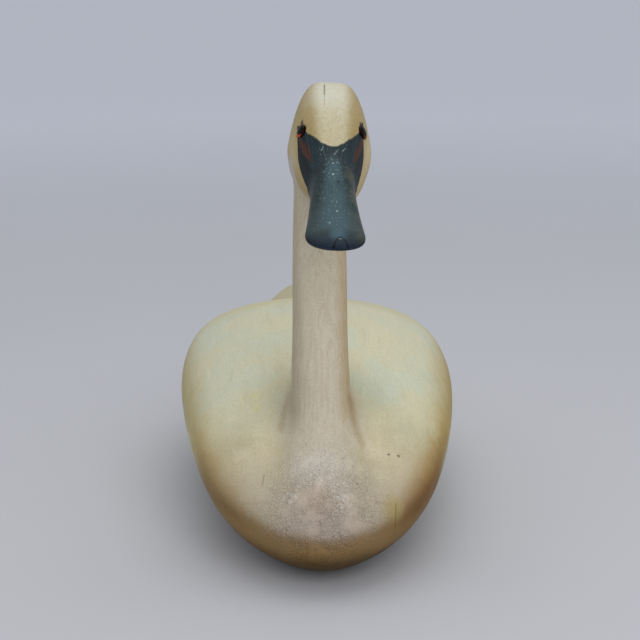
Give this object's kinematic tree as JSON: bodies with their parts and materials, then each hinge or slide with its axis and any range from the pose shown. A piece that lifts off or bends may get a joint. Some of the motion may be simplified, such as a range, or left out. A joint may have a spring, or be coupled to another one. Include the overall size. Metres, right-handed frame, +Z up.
{
  "type": "swan decoy",
  "caption": "Carved and painted wooden swan decoy with an upright neck, a dark bill and glass eyes, standing on the flat of its underside",
  "frame": {"origin": "on the surface the swan stands on, at the middle of its overall width and length", "axes": "+X is the swan's own left side, +Y points from its breast to its tail, +Z is up"},
  "size_m": [0.2693, 0.6499, 0.4212],
  "materials": {
    "cream_paint": "old cream oil paint on carved wood, worn and finely crackled; the bill is painted slate black",
    "eye_glass": "dark glass eye with an amber rim to its pupil, polished"
  },
  "bodies": {
    "root": {"carved_swan": "cream_paint", "eye_left": "eye_glass", "eye_right": "eye_glass"}
  },
  "joints": []
}
